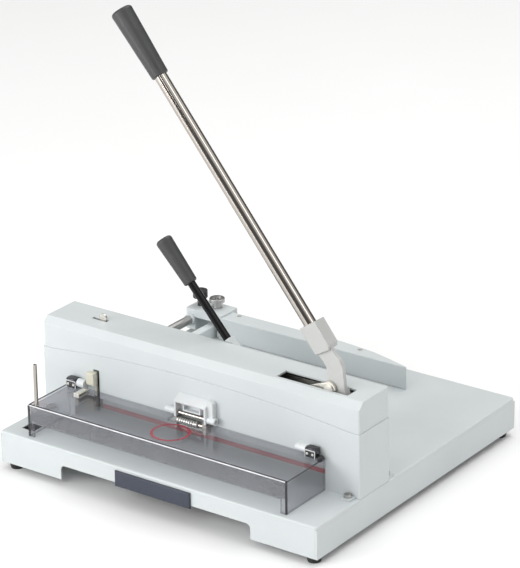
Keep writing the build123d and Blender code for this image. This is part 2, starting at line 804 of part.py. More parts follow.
with BuildPart() as clamp_lever_arm:
    arm_y = (clamp_lever_plane - clamp_arm_half, clamp_lever_plane + clamp_arm_half)
    bar_y(*clamp_pivot, arm_y, clamp_hub_radius)
    arm_length = hypot(clamp_pivot[0] - clamp_rod_low[0], clamp_pivot[1] - clamp_rod_low[1])
    arm_start = lean_plane(clamp_pivot, clamp_lever_plane, clamp_lean)
    with BuildSketch(arm_start) as arm_root:
        Rectangle(2 * clamp_arm_half, 28)
    with BuildSketch(arm_start.offset(arm_length)) as arm_end:
        Rectangle(2 * clamp_arm_half, 18)
    loft(sections=[arm_root.sketch.face(), arm_end.sketch.face()])
    bar(
        (clamp_rod_low[0], clamp_lever_plane, clamp_rod_low[1]),
        (clamp_rod_foot[0], clamp_lever_plane, clamp_rod_foot[1]),
        clamp_tang_radius,
        Mode.SUBTRACT,
    )
    bar_y(*clamp_pivot, arm_y, shaft_radius, Mode.SUBTRACT)
keep(clamp_lever_arm.part, "clamp_lever_arm")

with BuildPart() as clamp_lever_rod:
    bar(
        (clamp_rod_foot[0], clamp_lever_plane, clamp_rod_foot[1]),
        (clamp_rod_low[0], clamp_lever_plane, clamp_rod_low[1]),
        clamp_tang_radius,
    )
    bar(
        (clamp_rod_low[0], clamp_lever_plane, clamp_rod_low[1]),
        (clamp_grip_low[0], clamp_lever_plane, clamp_grip_low[1]),
        clamp_rod_radius,
    )
    bar(
        (clamp_grip_low[0], clamp_lever_plane, clamp_grip_low[1]),
        (clamp_rod_tip[0], clamp_lever_plane, clamp_rod_tip[1]),
        clamp_tang_radius,
    )
keep(clamp_lever_rod.part, "clamp_lever_rod")

with BuildPart() as clamp_grip_straight:
    revolve(grip_profile(11, 13.5, clamp_grip_length, clamp_tang_radius), axis=Axis.Z)
clamp_lever_grip = lean_plane(clamp_grip_low, clamp_lever_plane, clamp_lean) * clamp_grip_straight.part
keep(clamp_lever_grip, "clamp_lever_grip")

# ---------------------------------------------------------------- safety cover and its hinge
hinge_pin_radius = 3.0
knuckle_radius = 6.5
knuckle_gap = 0.3
right_sleeve_start = left + 493
sleeve_radius = 6.8
boss_radius = 5.5
cover_floor_gap = 0.8
front_wall_low = top + 23.5
leg_width = 11.0
knuckles = ((left + 57, left + 77), (left + 512, left + 531.5))
lift_rod_foot = (left + 63.5, front + 15.5, cover_top)
lift_rod_top = (left + 63.9, front + 15.5, top + 122)
lift_rod_radius = 3.0
lift_stud_radius = 2.5
knuckle_half = 5.0
spring_notch = (left + 262, left + 331, front + 89)

with BuildPart() as safety_cover:
    block((cover_left, cover_right), (cover_front, cover_back), (top + cover_floor_gap, cover_top))
    fillet(safety_cover.edges().filter_by(Axis.Z).group_by(Axis.Y)[0], 1.5)
    outer_rim = safety_cover.faces().sort_by(Axis.Z)[-1].edges()
    fillet(outer_rim.sort_by(Axis.Y)[:-1], 1.2)
    block(
        (cover_left + cover_wall, cover_right - cover_wall),
        (cover_front + cover_wall, cover_back),
        (top + cover_floor_gap, cover_top - cover_wall),
        Mode.SUBTRACT,
    )
    block(
        (cover_left + leg_width, cover_right - leg_width),
        (cover_front, cover_front + cover_wall),
        (top + cover_floor_gap, front_wall_low),
        Mode.SUBTRACT,
    )
    block(spring_notch[:2], (spring_notch[2], cover_back), (cover_top - cover_wall, cover_top), Mode.SUBTRACT)
    for knuckle in knuckles:
        block(
            knuckle,
            (hinge_line[0] - knuckle_half, hinge_line[0] + knuckle_half),
            (cover_top - 1, hinge_line[1]),
        )
        bar_x(*hinge_line, knuckle, knuckle_radius)
    for knuckle in knuckles:
        bar_x(*hinge_line, knuckle, hinge_pin_radius + running_fit, Mode.SUBTRACT)
    bar_z(*lift_rod_foot[:2], (cover_top - cover_wall, cover_top), lift_stud_radius, Mode.SUBTRACT)
keep(safety_cover.part, "safety_cover")

with BuildPart() as cover_lift_rod:
    bar((*lift_rod_foot[:2], cover_top + 0.8), lift_rod_top, lift_rod_radius)
    fillet(cover_lift_rod.faces().sort_by(Axis.Z)[-1].edges(), 1)
    bar_z(lift_rod_foot[0], lift_rod_foot[1], (cover_top - cover_wall, cover_top), lift_stud_radius)
    bar_z(lift_rod_foot[0], lift_rod_foot[1], (cover_top - cover_wall - 2.5, cover_top - cover_wall), 3.8)
    bar_z(lift_rod_foot[0], lift_rod_foot[1], (cover_top, cover_top + 1), 4.2)
keep(cover_lift_rod.part, "cover_lift_rod")

arm_x = (left + 93, left + 103)
arm_y = (front + 70, front + 96)
arm_z = (cover_top, cover_top + 7.2)
arm_wall = 2.0
arm_screw_radius = 2.2
with BuildPart() as interlock_arm:
    block(arm_x, arm_y, arm_z)
    block(
        (arm_x[0] + arm_wall, arm_x[1]),
        (arm_y[0] + arm_wall, arm_y[1]),
        (arm_z[0] + arm_wall, arm_z[1] - arm_wall),
        Mode.SUBTRACT,
    )
    fillet(interlock_arm.faces().sort_by(Axis.Y)[0].edges().filter_by(Axis.X), 0.8)
    for y in (arm_y[0] + 6, arm_y[1] - 5):
        bar_z(sum(arm_x) / 2, y, (arm_z[1], arm_z[1] + 0.8), arm_screw_radius)
keep(interlock_arm.part, "interlock_arm")

interlock_y = (front + 100.8, bridge_front)
interlock_block_x = (left + 93, left + 108)
interlock_block_z = (top + 64, top + 84)
interlock_tail_low = top + 44
interlock_tail_back = front + 115.3
with BuildPart() as interlock_slider:
    block(interlock_block_x, interlock_y, interlock_block_z)
    fillet(interlock_slider.faces().sort_by(Axis.Y)[0].edges(), 1.5)
    block(
        (interlock_slot[0] + 0.5, interlock_slot[0] + 5),
        (interlock_y[1], interlock_tail_back),
        (interlock_tail_low, interlock_block_z[1]),
    )
keep(interlock_slider.part, "interlock_slider")

with BuildPart() as left_hinge_block:
    sleeve_start = knuckles[0][1] + knuckle_gap
    bar_x(*hinge_line, (knuckles[0][0], sleeve_start), hinge_pin_radius)
    bar_x(*hinge_line, (sleeve_start, left + 91), sleeve_radius)
    block(
        (sleeve_start + 2, left + 89),
        (hinge_line[0], bridge_front),
        (hinge_line[1] - 4.5, hinge_line[1] + 4.5),
    )
keep(left_hinge_block.part, "left_hinge_block")

with BuildPart() as right_hinge_block:
    sleeve_end = knuckles[1][0] - knuckle_gap
    bar_x(*hinge_line, (right_sleeve_start, sleeve_end), boss_radius)
    block(
        (right_sleeve_start, sleeve_end),
        (hinge_line[0], bridge_front),
        (hinge_line[1] - boss_radius, hinge_line[1] + 4.5),
    )
    bar_x(*hinge_line, (sleeve_end, knuckles[1][1]), hinge_pin_radius)
keep(right_hinge_block.part, "right_hinge_block")

# The bracket carries the rod and spring that hold the cover up. It has a sloping brow over
# a window, and a rounded lug at its right end.
bracket_x = (left + 269, left + 329)
bracket_y = (front + 96, bridge_front)
bracket_z = (top + 57, top + 92)
lip_high = top + 84
bracket_side = 3.5
window_high = top + 81
boss_x = (left + 250, left + 344)
frame_x = (left + 284, left + 317)
frame_y = (front + 99, front + 108.5)
frame_z = (top + 68.5, top + 79)
frame_wall = 2.2
lug_x = (left + 329, left + 339)
lug_y = (front + 101, bridge_front)
lug_high = top + 94
with BuildPart() as spring_bracket:
    block(bracket_x, bracket_y, bracket_z)
    with BuildSketch(Plane.YZ.offset(bracket_x[0])):
        Polygon(
            (bracket_y[0], lip_high),
            (bracket_y[0], bracket_z[1]),
            (bracket_y[1] - 1, bracket_z[1]),
            align=None,
        )
    extrude(amount=bracket_x[1] - bracket_x[0], mode=Mode.SUBTRACT)
    block(
        (bracket_x[0] + bracket_side, bracket_x[1] - bracket_side),
        (bracket_y[0], bracket_y[1] - 3),
        (bracket_z[0], window_high),
        Mode.SUBTRACT,
    )
    block(frame_x, frame_y, frame_z)
    block(
        (frame_x[0] + frame_wall, frame_x[1] - frame_wall),
        (frame_y[0], frame_y[1] - 1),
        (frame_z[0] + frame_wall, frame_z[1]),
        Mode.SUBTRACT,
    )
    block((bracket_x[1] - 1, lug_x[1]), lug_y, (hinge_line[1], lug_high))
    fillet(spring_bracket.edges().filter_by(Axis.Y).group_by(Axis.Z)[-1].sort_by(Axis.X)[-1], 5)
    bar_x(*hinge_line, (boss_x[0], bracket_x[0] + 1), boss_radius)
    bar_x(*hinge_line, (bracket_x[1] - 1, boss_x[1]), boss_radius)
    bar_x(*hinge_line, boss_x, hinge_pin_radius, Mode.SUBTRACT)
keep(spring_bracket.part, "spring_bracket")

coil_place = (front + 101, top + 50.5)
coil_x = (left + 273.5, left + 312)
coil_rod_radius = 2.0
coil_turns = 9
coil_core_radius = 5.0
coil_ridge_radius = 6.4
with BuildPart() as cover_spring:
    coil_step = (coil_x[1] - coil_x[0]) / coil_turns
    bar_x(*coil_place, coil_x, coil_core_radius)
    for count in range(coil_turns):
        ring_x = coil_x[0] + (count + 0.15) * coil_step
        bar_x(*coil_place, (ring_x, ring_x + 0.7 * coil_step), coil_ridge_radius)
    bar_x(*coil_place, coil_x, coil_rod_radius, Mode.SUBTRACT)
keep(cover_spring.part, "cover_spring")

# The upper rod sits in the bosses; the lower one hangs on two small plates behind the window.
hanger_y = (front + 98, bridge_front)
hanger_z = (top + 38, top + 56.8)
with BuildPart() as bracket_rods:
    bar_x(*hinge_line, boss_x, hinge_pin_radius)
    for hanger in ((left + 269, left + 273), (left + 321, left + 328)):
        block(hanger, hanger_y, hanger_z)
    bar_x(*coil_place, (left + 270, left + 325), coil_rod_radius)
    bar_x(*coil_place, (coil_x[1] + 0.3, left + 321.5), 3.4)
keep(bracket_rods.part, "bracket_rods")

# ---------------------------------------------------------------- back gauge and side guide
side_guide_x = (left + 44, left + 60)
side_guide_high = top + 22
tunnel_high = top + 29
gauge_left = left + 2
gauge_right = left + 439.5
carriage_right = left + 76

with BuildPart() as side_guide:
    block(side_guide_x, (bridge_back + 16, back - 8), (top, side_guide_high))
    fillet(side_guide.faces().sort_by(Axis.Z)[-1].edges().filter_by(Axis.Y), 2)
keep(side_guide.part, "side_guide")

with BuildPart() as guide_rod:
    rod_y = (bridge_back, back - 6)
    bar_y(*guide_rod_place, rod_y, guide_rod_radius)
keep(guide_rod.part, "guide_rod")

rod_bracket_half = 9.0
rod_bracket_y = (back - 14, back - 3)
with BuildPart() as guide_rod_bracket:
    block(
        (guide_rod_place[0] - rod_bracket_half, guide_rod_place[0] + rod_bracket_half),
        rod_bracket_y,
        (top, guide_rod_place[1] + rod_bracket_half),
    )
    fillet(guide_rod_bracket.edges().filter_by(Axis.Y).group_by(Axis.Z)[-1], 5)
    bar_y(*guide_rod_place, rod_bracket_y, guide_rod_radius, Mode.SUBTRACT)
    bar_y(*guide_rod_place, (back - 6, back - 3), guide_rod_radius)
keep(guide_rod_bracket.part, "guide_rod_bracket")

gauge_screw_places = [(left + 95, front + 504), (left + 340, front + 499)]
with BuildPart() as back_gauge:
    with BuildSketch(Plane.XY.offset(top + 0.5)):
        Polygon(
            (left + 68, gauge_front),
            (gauge_right, gauge_front),
            (gauge_right, gauge_front + 3),
            (left + 400, gauge_front + 14.5),
            (left + 362, gauge_front + 24),
            (left + 300, gauge_back - 1),
            (left + 250, gauge_back),
            (left + 68, gauge_back),
            align=None,
        )
    extrude(amount=gauge_height - 0.5)
    fillet(back_gauge.faces().sort_by(Axis.Z)[-1].edges(), 1.5)
    for x, y in gauge_screw_places:
        bar_z(x, y, (top + gauge_height - 3, top + gauge_height), 4, Mode.SUBTRACT)
keep(back_gauge.part, "back_gauge")

with BuildPart() as gauge_screws:
    for x, y in gauge_screw_places:
        bar_z(x, y, (top + gauge_height - 3, top + gauge_height - 0.6), 3.8)
        with BuildSketch(Plane.XY.offset(top + gauge_height - 0.6)) as socket:
            with Locations((x, y)):
                RegularPolygon(1.8, 6)
        extrude(socket.sketch, amount=-1.2, mode=Mode.SUBTRACT)
keep(gauge_screws.part, "gauge_screws")

dial_place = (left + 46, front + 508)
knob_place = (left + 17, front + 500)
carriage_y = (gauge_front - 1, front + 525)
carriage_top = top + 42.5
stem_radius = 3.0
stem_low = top + 33
with BuildPart() as gauge_carriage:
    block((gauge_left, carriage_right), carriage_y, (tunnel_high, carriage_top))
    fillet(gauge_carriage.edges().filter_by(Axis.Z), 2)
    block((gauge_left, left + 21), carriage_y, (top + 6, tunnel_high))
    block((left + 66.5, left + 68), carriage_y, (top + 4, tunnel_high))
    block(
        (left + 67.9, carriage_right + 1),
        (carriage_y[0] - 1, gauge_back + 0.2),
        (tunnel_high - 1, top + gauge_height),
        Mode.SUBTRACT,
    )
    bar_y(*guide_rod_place, (carriage_y[0] - 6, carriage_y[0]), guide_rod_radius + 2.5)
    bar_y(
        *guide_rod_place,
        (carriage_y[0] - 6, carriage_y[1]),
        guide_rod_radius + running_fit,
        Mode.SUBTRACT,
    )
    bar_z(*knob_place, (stem_low, carriage_top), stem_radius, Mode.SUBTRACT)
    bar_z(*dial_place, (stem_low, carriage_top), stem_radius, Mode.SUBTRACT)
keep(gauge_carriage.part, "gauge_carriage")

knob_z = (top + 58, top + 70)
knob_radius = 12.5
knob_flutes = 20
flute_radius = 1.2
with BuildPart() as lock_knob:
    bar_z(*knob_place, (stem_low + 0.3, knob_z[0]), stem_radius - running_fit)
    bar_z(*knob_place, (carriage_top + 0.3, knob_z[0]), 5)
    with BuildSketch(Plane.XY.offset(knob_z[0])) as knob_outline:
        with Locations(knob_place):
            Circle(knob_radius)
            with PolarLocations(knob_radius + 0.8, knob_flutes):
                Circle(flute_radius, mode=Mode.SUBTRACT)
    extrude(knob_outline.sketch, amount=knob_z[1] - knob_z[0])
keep(lock_knob.part, "lock_knob")

dial_z = (top + 53, top + 60)
dial_radius = 13.0
dial_holes = 3
dial_hole_ring = 5.5
dial_hole_radius = 1.8
with BuildPart() as gauge_dial:
    bar_z(*dial_place, (stem_low + 0.3, dial_z[0]), stem_radius - running_fit)
    bar_z(*dial_place, (carriage_top + 0.3, dial_z[0]), 8)
    bar_z(*dial_place, dial_z, dial_radius)
    fillet(gauge_dial.faces().sort_by(Axis.Z)[-1].edges(), 1.2)
    bar_z(*dial_place, (dial_z[1] - 2, dial_z[1]), dial_radius - 3.5, Mode.SUBTRACT)
    for count in range(dial_holes):
        turn = radians(360 / dial_holes * count + 30)
        hole_x = dial_place[0] + dial_hole_ring * cos(turn)
        hole_y = dial_place[1] + dial_hole_ring * sin(turn)
        bar_z(hole_x, hole_y, (dial_z[1] - 5, dial_z[1] - 2), dial_hole_radius, Mode.SUBTRACT)
    bar_z(*dial_place, (dial_z[1] - 2, dial_z[1] + 0.8), 2.6)
keep(gauge_dial.part, "gauge_dial")
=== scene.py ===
import json
import math

import bmesh
import bpy
from mathutils import Matrix, Vector


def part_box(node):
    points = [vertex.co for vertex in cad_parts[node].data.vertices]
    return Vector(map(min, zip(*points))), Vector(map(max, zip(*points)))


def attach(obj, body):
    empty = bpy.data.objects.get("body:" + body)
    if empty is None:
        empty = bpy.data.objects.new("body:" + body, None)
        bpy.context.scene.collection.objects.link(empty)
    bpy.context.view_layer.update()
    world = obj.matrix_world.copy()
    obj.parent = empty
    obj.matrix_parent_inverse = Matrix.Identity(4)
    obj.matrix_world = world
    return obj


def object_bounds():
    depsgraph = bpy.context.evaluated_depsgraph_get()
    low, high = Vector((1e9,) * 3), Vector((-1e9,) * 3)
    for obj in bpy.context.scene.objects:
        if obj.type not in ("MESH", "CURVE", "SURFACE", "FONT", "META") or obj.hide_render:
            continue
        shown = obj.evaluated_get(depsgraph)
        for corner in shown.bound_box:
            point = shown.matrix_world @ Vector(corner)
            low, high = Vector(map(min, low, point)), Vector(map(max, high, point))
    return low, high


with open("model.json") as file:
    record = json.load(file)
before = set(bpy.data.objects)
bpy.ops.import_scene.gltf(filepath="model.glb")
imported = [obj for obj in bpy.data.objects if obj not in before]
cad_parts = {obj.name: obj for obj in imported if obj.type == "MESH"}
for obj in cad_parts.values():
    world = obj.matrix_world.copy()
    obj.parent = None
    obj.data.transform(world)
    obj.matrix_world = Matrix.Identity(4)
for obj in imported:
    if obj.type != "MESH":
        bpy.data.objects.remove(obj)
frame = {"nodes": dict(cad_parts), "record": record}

CAD_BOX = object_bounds()
NODES = frame["nodes"]
SLOT_OF = {s["node"]: s["material_slot"] for s in frame["record"]["subparts"]}
MM = 0.001

# ------------------------------------------------------------------ camera and light
# The camera's place is in metres from the middle of the base, and its lens in millimetres.
EYE = Vector((2.4601, -3.3723, 1.9795))
YAW, PITCH, ROLL = math.radians(-36.05), math.radians(22.09), math.radians(-0.9)
FOCAL = 184.93


def make_camera():
    level_share = math.cos(PITCH)
    forward = Vector((math.sin(YAW) * level_share, math.cos(YAW) * level_share, -math.sin(PITCH)))
    level = Vector((math.cos(YAW), -math.sin(YAW), 0))
    upright = level.cross(forward)
    right = math.cos(ROLL) * level + math.sin(ROLL) * upright
    up = -math.sin(ROLL) * level + math.cos(ROLL) * upright
    data = bpy.data.cameras.new("camera")
    data.lens = FOCAL
    data.sensor_width = 36
    data.clip_end = 50
    camera = bpy.data.objects.new("camera", data)
    turn = Matrix((right, up, -forward)).transposed()
    camera.matrix_world = Matrix.Translation(EYE) @ turn.to_4x4()
    bpy.context.scene.collection.objects.link(camera)
    bpy.context.scene.camera = camera


def area_light(name, place, target, size, power):
    data = bpy.data.lights.new(name, "AREA")
    data.shape = "RECTANGLE"
    data.size, data.size_y = size
    data.energy = power
    light = bpy.data.objects.new(name, data)
    light.location = place
    way = Vector(target) - Vector(place)
    light.rotation_euler = way.to_track_quat("-Z", "Y").to_euler()
    bpy.context.scene.collection.objects.link(light)


def make_world():
    """A room with a bright ceiling and dimmer walls, so that polished metal has something to mirror."""
    world = bpy.data.worlds.new("studio")
    world.use_nodes = True
    tree = world.node_tree
    back = tree.nodes["Background"]
    back.inputs["Strength"].default_value = 1.0
    place = tree.nodes.new("ShaderNodeTexCoord")
    split = tree.nodes.new("ShaderNodeSeparateXYZ")
    tree.links.new(place.outputs["Generated"], split.inputs[0])
    ramp = tree.nodes.new("ShaderNodeValToRGB")
    ramp.color_ramp.interpolation = "EASE"
    stops = ((0.0, 0.50), (0.02, 0.12), (0.46, 0.16), (0.64, 0.98), (1.0, 0.92))
    while len(ramp.color_ramp.elements) < len(stops):
        ramp.color_ramp.elements.new(0.5)
    for stop, (height, light) in zip(ramp.color_ramp.elements, stops):
        stop.position = height
        stop.color = (light, light, light * 0.99, 1)
    tree.links.new(split.outputs["Z"], ramp.inputs["Fac"])
    tree.links.new(ramp.outputs["Color"], back.inputs["Color"])
    bpy.context.scene.world = world


make_camera()
make_world()
area_light("key", (-1.7, -3.0, 1.0), (0, 0, 0.1), (2.0, 1.3), 64)
area_light("upper_front", (0.2, -3.0, 2.1), (0, 0.2, 0.1), (1.2, 0.8), 22)
area_light("right_fill", (3.0, 0.6, 0.8), (0, 0, 0.15), (1.2, 1.2), 7)
area_light("slot_shade_sheet", (2.3, -0.25, 2.3), (0, 0, 0.2), (0.5, 1.6), 8)
area_light("floor_wash", (0.2, 1.6, 3.2), (-0.4, 0.6, 0), (3.0, 2.0), 34)
scene = bpy.context.scene
scene.view_settings.view_transform = "Standard"
scene.view_settings.look = "None"
scene.view_settings.exposure = 0.0


# ------------------------------------------------------------------ materials
class Tree:
    """Short names for building one material's nodes."""

    def __init__(self, name):
        self.material = bpy.data.materials.new(name)
        self.material.use_nodes = True
        self.tree = self.material.node_tree
        self.tree.nodes.clear()
        self.out = self.add("ShaderNodeOutputMaterial")
        self.place = self.add("ShaderNodeTexCoord").outputs["Object"]
        self.normal = None

    def add(self, kind, **values):
        node = self.tree.nodes.new(kind)
        for key, value in values.items():
            setattr(node, key, value)
        return node

    def join(self, source, target):
        self.tree.links.new(source, target)

    def noise(self, scale, detail=3.0, rough=0.55, place=None):
        node = self.add("ShaderNodeTexNoise")
        node.inputs["Scale"].default_value = scale
        node.inputs["Detail"].default_value = detail
        node.inputs["Roughness"].default_value = rough
        self.join(place or self.place, node.inputs["Vector"])
        return node.outputs["Fac"]

    def stretched(self, scale):
        node = self.add("ShaderNodeMapping")
        node.inputs["Scale"].default_value = scale
        self.join(self.place, node.inputs["Vector"])
        return node.outputs["Vector"]

    def remap(self, source, low, high, to_low, to_high):
        node = self.add("ShaderNodeMapRange")
        node.inputs["From Min"].default_value = low
        node.inputs["From Max"].default_value = high
        node.inputs["To Min"].default_value = to_low
        node.inputs["To Max"].default_value = to_high
        self.join(source, node.inputs["Value"])
        return node.outputs["Result"]

    def math(self, kind, a, b):
        node = self.add("ShaderNodeMath", operation=kind)
        for value, socket in ((a, node.inputs[0]), (b, node.inputs[1])):
            if isinstance(value, (int, float)):
                socket.default_value = value
            else:
                self.join(value, socket)
        return node.outputs[0]

    def blend(self, share, a, b):
        node = self.add("ShaderNodeMix", data_type="RGBA")
        if isinstance(share, (int, float)):
            node.inputs["Factor"].default_value = share
        else:
            self.join(share, node.inputs["Factor"])
        for value, socket in ((a, node.inputs["A"]), (b, node.inputs["B"])):
            socket = [s for s in node.inputs if s.name == socket.name and s.type == "RGBA"][0]
            if isinstance(value, tuple):
                socket.default_value = (*value, 1)
            else:
                self.join(value, socket)
        return [s for s in node.outputs if s.type == "RGBA"][0]

    def rounded(self, radius):
        """A normal that rounds the edges, and a mask that is 1 on them."""
        bevel = self.add("ShaderNodeBevel", samples=6)
        bevel.inputs["Radius"].default_value = radius
        shape = self.add("ShaderNodeNewGeometry")
        dot = self.add("ShaderNodeVectorMath", operation="DOT_PRODUCT")
        self.join(bevel.outputs["Normal"], dot.inputs[0])
        self.join(shape.outputs["Normal"], dot.inputs[1])
        self.normal = bevel.outputs["Normal"]
        return self.remap(dot.outputs["Value"], 0.995, 0.86, 0.0, 1.0)

    def bump(self, height, strength, distance):
        node = self.add("ShaderNodeBump")
        node.inputs["Strength"].default_value = strength
        node.inputs["Distance"].default_value = distance
        self.join(height, node.inputs["Height"])
        if self.normal is not None:
            self.join(self.normal, node.inputs["Normal"])
        self.normal = node.outputs["Normal"]

    def surface(self, colour, roughness, **constants):
        shader = self.add("ShaderNodeBsdfPrincipled")
        self.join(colour, shader.inputs["Base Color"])
        self.join(roughness, shader.inputs["Roughness"])
        if self.normal is not None:
            self.join(self.normal, shader.inputs["Normal"])
        for name, value in constants.items():
            shader.inputs[name.replace("_", " ")].default_value = value
        self.join(shader.outputs[0], self.out.inputs["Surface"])
        return shader


def shade(colour, factor):
    return tuple(min(1.0, c * factor) for c in colour)


def paint(
    name,
    colour,
    rough=0.42,
    grain=900.0,
    bump=0.10,
    edge=(0.9, 0.91, 0.92),
    edge_share=0.35,
    radius=0.0012,
    **constants,
):
    """Powder coat or enamel: faint cloudiness, a fine texture and rubbed edges."""
    t = Tree(name)
    cloud = t.noise(7.0, 4.0)
    speck = t.noise(grain, 2.0)
    edges = t.rounded(radius)
    base = t.blend(t.remap(cloud, 0.3, 0.7, 0.0, 1.0), shade(colour, 0.965), shade(colour, 1.03))
    base = t.blend(t.remap(speck, 0.35, 0.65, 0.0, 0.05), base, shade(colour, 0.8))
    worn = t.math("MULTIPLY", edges, t.remap(t.noise(60.0, 5.0, 0.7), 0.42, 0.66, 0.15, edge_share))
    base = t.blend(worn, base, edge)
    roughness = t.remap(t.noise(24.0, 5.0), 0.25, 0.75, rough - 0.05, rough + 0.08)
    t.bump(speck, bump, 0.0004)
    t.surface(base, roughness, **constants)
    return t.material


def plastic(name, colour, rough=0.45, grain=1400.0, bump=0.12, edge_gain=1.6, radius=0.0008, **constants):
    """Moulded plastic with a spark-eroded grain, polished where hands rub it."""
    t = Tree(name)
    cloud = t.noise(14.0, 4.0)
    grit = t.noise(grain, 3.0, 0.6)
    edges = t.rounded(radius)
    base = t.blend(t.remap(cloud, 0.3, 0.7, 0.0, 1.0), shade(colour, 0.9), shade(colour, 1.1))
    worn = t.math("MULTIPLY", edges, t.remap(t.noise(90.0, 4.0, 0.7), 0.35, 0.7, 0.1, 0.7))
    base = t.blend(worn, base, shade(colour, edge_gain))
    roughness = t.remap(t.noise(40.0, 5.0), 0.25, 0.75, rough - 0.1, rough + 0.1)
    t.bump(grit, bump, 0.0003)
    t.surface(base, roughness, **constants)
    return t.material


def metal(
    name,
    colour,
    rough=0.25,
    stretch=(1.0, 1.0, 1.0),
    grain=700.0,
    bump=0.05,
    spots=0.15,
    dark=0.6,
    radius=0.0006,
    **constants,
):
    """Bare or plated metal: drawn or ground grain, slight tarnish and bright edges."""
    t = Tree(name)
    fibre = t.noise(grain, 3.0, 0.6, t.stretched(stretch))
    stain = t.noise(38.0, 5.0, 0.65)
    edges = t.rounded(radius)
    base = t.blend(t.remap(stain, 0.45, 0.75, 0.0, spots), colour, shade(colour, dark))
    base = t.blend(t.remap(fibre, 0.35, 0.65, 0.0, 0.12), base, shade(colour, 0.75))
    base = t.blend(t.math("MULTIPLY", edges, 0.5), base, shade(colour, 1.25))
    roughness = t.remap(fibre, 0.3, 0.7, rough * 0.8, rough * 1.35)
    t.bump(fibre, bump, 0.0002)
    t.surface(base, roughness, Metallic=1.0, **constants)
    return t.material


def smoke_acrylic(name):
    """Smoke-tinted clear sheet: it lets light through, mirrors the room and is dark along its edges."""
    t = Tree(name)
    edges = t.rounded(0.0016)
    haze = t.noise(18.0, 4.0)
    scratch = t.noise(260.0, 4.0, 0.7, t.stretched((0.25, 3.0, 1.0)))
    tint = t.blend(t.remap(haze, 0.3, 0.7, 0.0, 1.0), (0.915, 0.915, 0.93), (0.94, 0.94, 0.955))
    roughness = t.remap(scratch, 0.35, 0.75, 0.02, 0.10)
    clear = t.add("ShaderNodeBsdfTransparent")
    t.join(tint, clear.inputs["Color"])
    shader = t.surface(
        t.blend(edges, (0.15, 0.145, 0.16), (0.03, 0.03, 0.036)),
        roughness,
        IOR=1.49,
    )
    facing = t.add("ShaderNodeLayerWeight")
    facing.inputs["Blend"].default_value = 0.5
    share = t.remap(t.math("POWER", facing.outputs["Facing"], 4.0), 0.0, 1.0, 0.11, 0.8)
    share = t.math("MAXIMUM", share, t.math("MULTIPLY", edges, 0.7))
    mix = t.add("ShaderNodeMixShader")
    t.join(share, mix.inputs[0])
    t.join(clear.outputs[0], mix.inputs[1])
    t.join(shader.outputs[0], mix.inputs[2])
    mirror = t.add("ShaderNodeBsdfAnisotropic")
    t.join(roughness, mirror.inputs["Roughness"])
    gleam = t.blend(t.remap(haze, 0.3, 0.7, 0.0, 1.0), (0.9, 0.9, 0.92), (0.96, 0.96, 0.97))
    t.join(gleam, mirror.inputs["Color"])
    polish = t.remap(t.math("POWER", facing.outputs["Facing"], 5.0), 0.0, 1.0, 0.035, 0.6)
    coat = t.add("ShaderNodeMixShader")
    t.join(polish, coat.inputs[0])
    t.join(mix.outputs[0], coat.inputs[1])
    t.join(mirror.outputs[0], coat.inputs[2])
    t.join(coat.outputs[0], t.out.inputs["Surface"])
    return t.material


def see_through(name, colour, cover, rough):
    """A thin coloured layer that hides only part of what is behind it."""
    t = Tree(name)
    cloud = t.noise(45.0, 4.0)
    base = t.blend(t.remap(cloud, 0.3, 0.7, 0.0, 1.0), shade(colour, 0.85), shade(colour, 1.12))
    shader = t.surface(base, t.remap(t.noise(120.0, 4.0), 0.3, 0.7, rough * 0.7, rough * 1.4))
    clear = t.add("ShaderNodeBsdfTransparent")
    mix = t.add("ShaderNodeMixShader")
    t.join(t.remap(t.noise(300.0, 3.0), 0.3, 0.7, cover - 0.08, cover + 0.08), mix.inputs[0])
    t.join(clear.outputs[0], mix.inputs[1])
    t.join(shader.outputs[0], mix.inputs[2])
    t.join(mix.outputs[0], t.out.inputs["Surface"])
    return t.material


